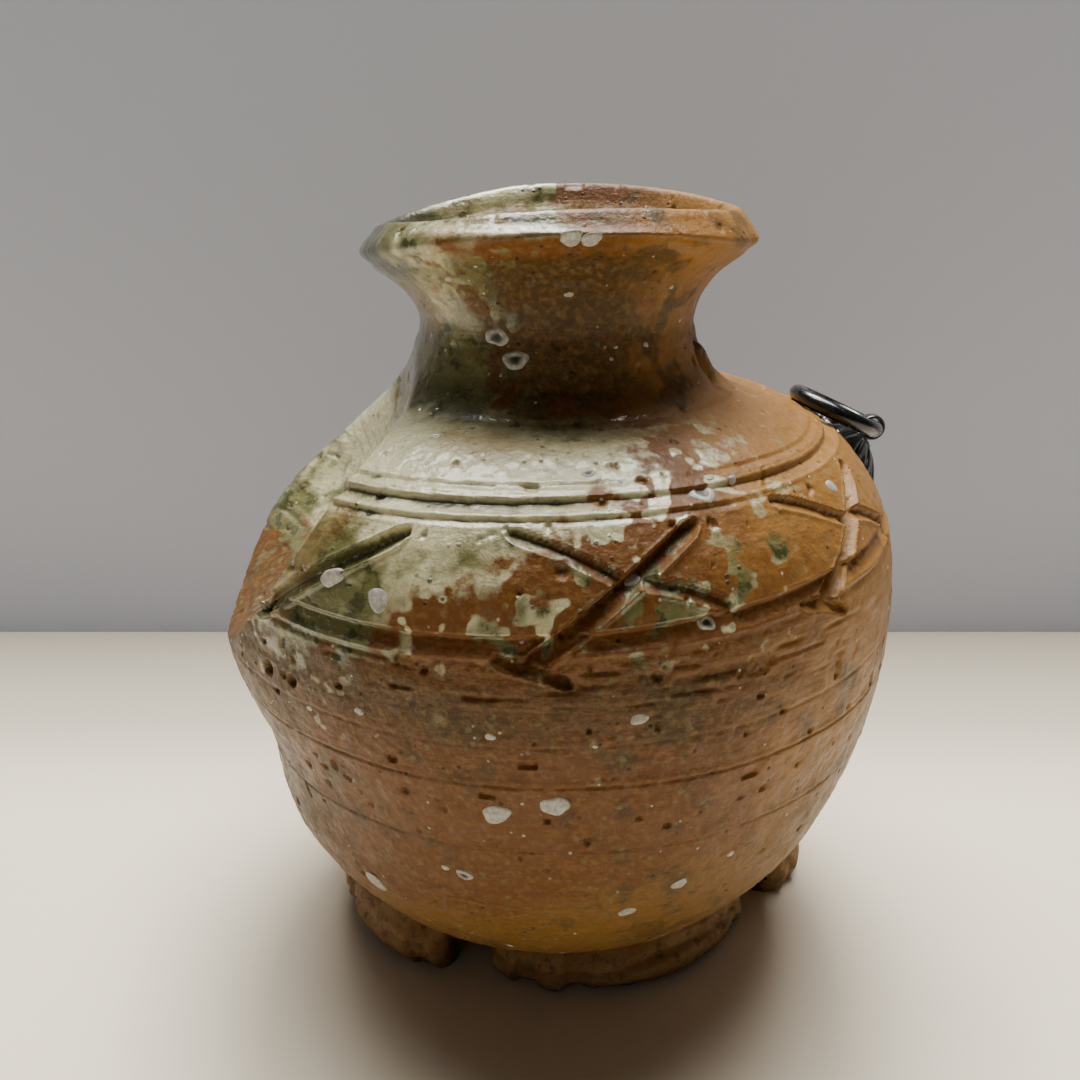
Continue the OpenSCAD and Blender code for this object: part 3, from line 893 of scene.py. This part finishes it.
def build_grains():
    verts, faces, rims, bursts = [], [], [], []
    n_ring, n_seg = 9, 26
    for index, (ga, gz, wide, tall, proud, burst) in enumerate(placed_grains() + scattered_grains(130)):
        centre, n = skin_spot(ga, gz)
        side = np.array([math.cos(math.radians(ga)), math.sin(math.radians(ga)), 0.0])
        side -= n * (side @ n)
        side /= np.linalg.norm(side)
        up = np.cross(n, side)
        rng = random.Random(500 + index)
        phases = [rng.uniform(0, TAU) for _ in range(4)]
        base = len(verts)
        verts.append(centre + n * (0.62 * proud if not burst else 0.04))
        rims.append(0.0)
        bursts.append(1.0 if burst else 0.0)
        for i in range(1, n_ring + 1):
            t = i / n_ring
            for j in range(n_seg):
                th = TAU * j / n_seg
                wave = 1 + 0.10 * math.sin(2 * th + phases[0]) + 0.07 * math.sin(3 * th + phases[1])
                wave += 0.04 * math.sin(5 * th + phases[2])
                level = 0.62 * proud * math.sqrt(max(1 - (t * 0.96) ** 3, 0)) - 0.35 * t**6
                if burst:
                    hollow = (proud + 0.3) * math.exp(-((t / 0.40) ** 4))
                    level -= hollow - 0.06 * math.exp(-(((t - 0.5) / 0.12) ** 2))
                    level = max(level, 0.04) if t < 0.8 else level
                place = centre + side * (wide * t * wave * math.cos(th))
                place = place + up * (tall * t * wave * math.sin(th))
                verts.append(place + n * level)
                rims.append(max(0.0, (t - 0.78) / 0.22) ** 1.5)
                bursts.append(math.exp(-((t / 0.46) ** 4)) if burst else 0.0)
        for j in range(n_seg):
            faces.append((base, base + 1 + j, base + 1 + (j + 1) % n_seg))
        for i in range(n_ring - 1):
            for j in range(n_seg):
                a0 = base + 1 + i * n_seg
                faces.append((a0 + j, a0 + n_seg + j, a0 + n_seg + (j + 1) % n_seg, a0 + (j + 1) % n_seg))
        faces.append(tuple(base + 1 + (n_ring - 1) * n_seg + j for j in reversed(range(n_seg))))
    obj = new_object("feldspar_blobs", np.array(verts), faces, FELDSPAR, "pot",
                     {"rim": rims, "burst": bursts})
    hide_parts("feldspar_grains")
    return obj


build_grains()

# ---------------------------------------------------------------- ring fitting

eye = np.array(HINGE["pos_m"]) / MM
hinge_axis = np.array(HINGE["axis"], float)
hinge_axis /= np.linalg.norm(hinge_axis)
FIT_AZ = 95.0
EYE_LIFT = 5.8
ROSETTE_R = 9.6
ROSETTE_H = 3.55
RING_WIRE_R = 1.45
FIT_UP = math.radians(36.7)
FIT_TURN = math.radians(FIT_AZ - 90)
FIT_N = np.array([math.cos(FIT_TURN) * math.cos(FIT_UP), math.sin(FIT_TURN) * math.cos(FIT_UP),
                  math.sin(FIT_UP)])
WALL_PT = eye - EYE_LIFT * FIT_N
FIT_X = np.array([-math.sin(FIT_TURN), math.cos(FIT_TURN), 0.0])
FIT_Y = np.cross(FIT_N, FIT_X)
PIN_Y = np.cross(FIT_N, hinge_axis)


def local(x, y, z):
    """Points of the fitting's own frame, with z straight out of the clay."""
    return (WALL_PT + np.multiply.outer(x, FIT_X) + np.multiply.outer(y, FIT_Y) + np.multiply.outer(z, FIT_N))


def rosette():
    """Chrysanthemum washer: a low dome of sixteen hollowed petals round a plain boss."""
    n_r, n_t = 46, 320
    petals = 16
    t = np.linspace(0.155, 1, n_r)
    th = np.arange(n_t) / n_t * TAU
    tt, hh = np.meshgrid(t, th, indexing="ij")
    radius = ROSETTE_R
    rim = 1 - 0.045 * np.abs(np.sin(hh * petals / 2 + math.pi / 2)) ** 6 * smooth(tt, 0.7, 1)
    dome = ROSETTE_H * (1 - (tt * 0.985) ** 2.1)
    petal = np.abs(np.cos(hh * petals / 2))
    groove = np.exp(-((petal / 0.30) ** 2))
    start = smooth(tt, 0.30, 0.42)
    level = dome - 0.62 * groove * start - 0.18 * (1 - petal) * start
    level += 0.22 * np.exp(-(((tt - 0.30) / 0.035) ** 2)) - 0.2 * np.exp(-(((tt - 0.36) / 0.03) ** 2))
    level = np.maximum(level, 0.15)
    x = radius * tt * rim * np.cos(hh)
    y = radius * tt * rim * np.sin(hh)
    # The washer is bent to the pot: its edge follows the clay down on both sides.
    sag = 0.5 * (x**2 / 60.0 + y**2 / 46.0)
    top = local(x, y, level - sag + 0.05)
    under = local(x[::-1], y[::-1], (np.minimum(level, 0.0) - sag - 1.1)[::-1])
    verts = np.concatenate([top.reshape(-1, 3), under.reshape(-1, 3)])
    faces = grid_faces(2 * n_r, n_t, flip=True)
    for j in range(n_t):
        k = (j + 1) % n_t
        last = (2 * n_r - 1) * n_t
        faces.append((last + j, last + k, k, j))
    obj = new_object("rosette_washer", verts, faces, IRON, "pot")
    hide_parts("rosette")


def tube(path, tangents, half_w, half_h, side_dir, n_v, power=2.0):
    """Sweeps a superelliptic section along an open path; side_dir gives the section's own width direction."""
    n_u = len(path)
    v = np.arange(n_v) / n_v * TAU
    cv = np.sign(np.cos(v)) * np.abs(np.cos(v)) ** (2 / power)
    sv = np.sign(np.sin(v)) * np.abs(np.sin(v)) ** (2 / power)
    verts = []
    for i in range(n_u):
        s = side_dir[i] / np.linalg.norm(side_dir[i])
        o = np.cross(tangents[i], s)
        o /= np.linalg.norm(o)
        verts.extend(path[i] + s * (half_w * a) + o * (half_h * b) for a, b in zip(cv, sv))
    faces = []
    for i in range(n_u - 1):
        i2 = i + 1
        for j in range(n_v):
            k = (j + 1) % n_v
            faces.append((i * n_v + j, i * n_v + k, i2 * n_v + k, i2 * n_v + j))
    faces.append(tuple(reversed(range(n_v))))
    faces.append(tuple((n_u - 1) * n_v + j for j in range(n_v)))
    return verts, faces


def split_pin():
    """Half-round wire bent into an eye, its two legs side by side through the wall and clenched inside."""
    mid_r = 2.08
    gap = 0.42
    start = math.asin(gap / mid_r)
    ang = np.linspace(-math.pi / 2 + start, 1.5 * math.pi - start, 90)
    loop = [eye + mid_r * (PIN_Y * math.cos(t) + FIT_N * math.sin(t)) for t in ang]
    leg_foot = -6.2
    drop = eye @ FIT_N - mid_r * math.cos(start) - (WALL_PT @ FIT_N)
    down = np.linspace(leg_foot, drop - 0.15, 30)
    first = [WALL_PT + PIN_Y * 0.78 + FIT_N * d for d in down]
    second = [WALL_PT - PIN_Y * 0.78 + FIT_N * d for d in down[::-1]]
    ends_out = np.linspace(5.0, 0.9, 14)
    clench_a = [WALL_PT + PIN_Y * e + FIT_N * (leg_foot + 0.05) for e in ends_out]
    clench_b = [WALL_PT - PIN_Y * e + FIT_N * (leg_foot + 0.05) for e in ends_out[::-1]]
    path = np.array(clench_a + first + loop + second + clench_b)
    run = np.concatenate([[0], np.cumsum(np.linalg.norm(np.diff(path, axis=0), axis=1))])
    at = np.linspace(0, run[-1], 260)
    path = np.stack([np.interp(at, run, path[:, k]) for k in range(3)], axis=1)
    kernel = np.array([1, 2, 3, 2, 1]) / 9
    for _ in range(3):
        inner_part = np.stack([np.convolve(path[:, k], kernel, "valid") for k in range(3)], axis=1)
        path[2:-2] = inner_part
    tang = np.gradient(path, axis=0)
    tang /= np.linalg.norm(tang, axis=1)[:, None]
    side = np.repeat(hinge_axis[None, :], len(path), axis=0)
    verts, faces = tube(path, tang, 1.22, 0.36, side, 20, power=2.6)
    obj = new_object("split_pin_wire", np.array(verts), faces, IRON, "pot")
    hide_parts("split_pin")


def hanging_ring():
    """Ring of iron wire, a little uneven, with the fine seam where its ends butt together."""
    low, high = node_box_mm("hanging_ring")
    centre = np.array([(a + b) / 2 for a, b in zip(low, high)])
    toward = centre - eye
    ring_r = np.linalg.norm(toward)
    toward /= ring_r
    wire_r = RING_WIRE_R
    n_u, n_v = 260, 40
    th = np.arange(n_u) / n_u * TAU
    seam = math.radians(128)
    axis = np.cross(hinge_axis, toward)
    verts = []
    for t in th:
        out = -toward * math.cos(t) + hinge_axis * math.sin(t)
        d = (t - seam + math.pi) % TAU - math.pi
        r = wire_r * (1 + 0.012 * math.sin(3 * t + 1) - 0.13 * math.exp(-((d * ring_r / 0.22) ** 2)))
        for j in range(n_v):
            v = TAU * j / n_v
            verts.append(centre + out * (ring_r + r * math.cos(v)) + axis * (r * math.sin(v)))
    faces = []
    for i in range(n_u):
        i2 = (i + 1) % n_u
        for j in range(n_v):
            k = (j + 1) % n_v
            faces.append((i * n_v + j, i2 * n_v + j, i2 * n_v + k, i * n_v + k))
    obj = new_object("iron_ring", np.array(verts), faces, RING_IRON, "ring")
    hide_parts("hanging_ring")


rosette()
split_pin()
hanging_ring()

# ---------------------------------------------------------------- stage, light and camera


def stage_material(name, colour, roughness, glow):
    mat = bpy.data.materials.new(name)
    mat.use_nodes = True
    bsdf = mat.node_tree.nodes["Principled BSDF"]
    bsdf.inputs["Base Color"].default_value = (*colour, 1)
    bsdf.inputs["Roughness"].default_value = roughness
    bsdf.inputs["Emission Color"].default_value = (*colour, 1)
    bsdf.inputs["Emission Strength"].default_value = glow
    return mat


def slab(name, corners, colour, roughness, glow=0.0):
    mesh = bpy.data.meshes.new(name)
    mesh.from_pydata(corners, [], [(0, 1, 2, 3)])
    obj = bpy.data.objects.new(name, mesh)
    bpy.context.collection.objects.link(obj)
    mesh.materials.append(stage_material(name + "_paint", colour, roughness, glow))
    return obj


slab("floor", [(-1.2, -1.0, 0), (1.2, -1.0, 0), (1.2, 0.118, 0), (-1.2, 0.118, 0)], (0.88, 0.79, 0.62), 0.55)
slab("backdrop", [(-1.2, 0.118, 0), (1.2, 0.118, 0), (1.2, 0.122, 0.19), (-1.2, 0.122, 0.19)],
     (0.46, 0.48, 0.56), 0.7, 0.16)


def area_light(name, place, target, size, power, colour=(1, 1, 1)):
    data = bpy.data.lights.new(name, "AREA")
    data.shape = "RECTANGLE"
    data.size, data.size_y = size
    data.energy = power
    data.color = colour
    obj = bpy.data.objects.new(name, data)
    bpy.context.collection.objects.link(obj)
    obj.location = place
    aim = np.array(target, float) - np.array(place, float)
    aim /= np.linalg.norm(aim)
    obj.rotation_euler = mathutils.Vector(aim).to_track_quat("-Z", "Y").to_euler()
    return obj


area_light("ceiling_light", (0.02, 0.46, 0.98), (0, 0, 0.08), (0.42, 0.16), 9.0, (1.0, 0.98, 0.94))
area_light("overhead", (0.0, 0.24, 1.05), (0, 0.05, 0.05), (0.9, 0.5), 23.0, (1.0, 0.98, 0.95))
area_light("front_fill", (-0.35, -0.75, 0.55), (0, 0, 0.07), (0.6, 0.6), 0.15, (1.0, 0.96, 0.90))

world = bpy.data.worlds.new("room")
bpy.context.scene.world = world
world.use_nodes = True
world.node_tree.nodes["Background"].inputs[0].default_value = (0.80, 0.82, 0.88, 1)
world.node_tree.nodes["Background"].inputs[1].default_value = 0.026

cam_data = bpy.data.cameras.new("camera")
cam_data.lens = 34.8
cam_data.sensor_width = 36
cam_data.clip_start = 0.01
cam = bpy.data.objects.new("camera", cam_data)
bpy.context.collection.objects.link(cam)
cam.location = (-0.003, -0.185, 0.1415)
cam.rotation_euler = (math.radians(70), 0, 0)
bpy.context.scene.camera = cam
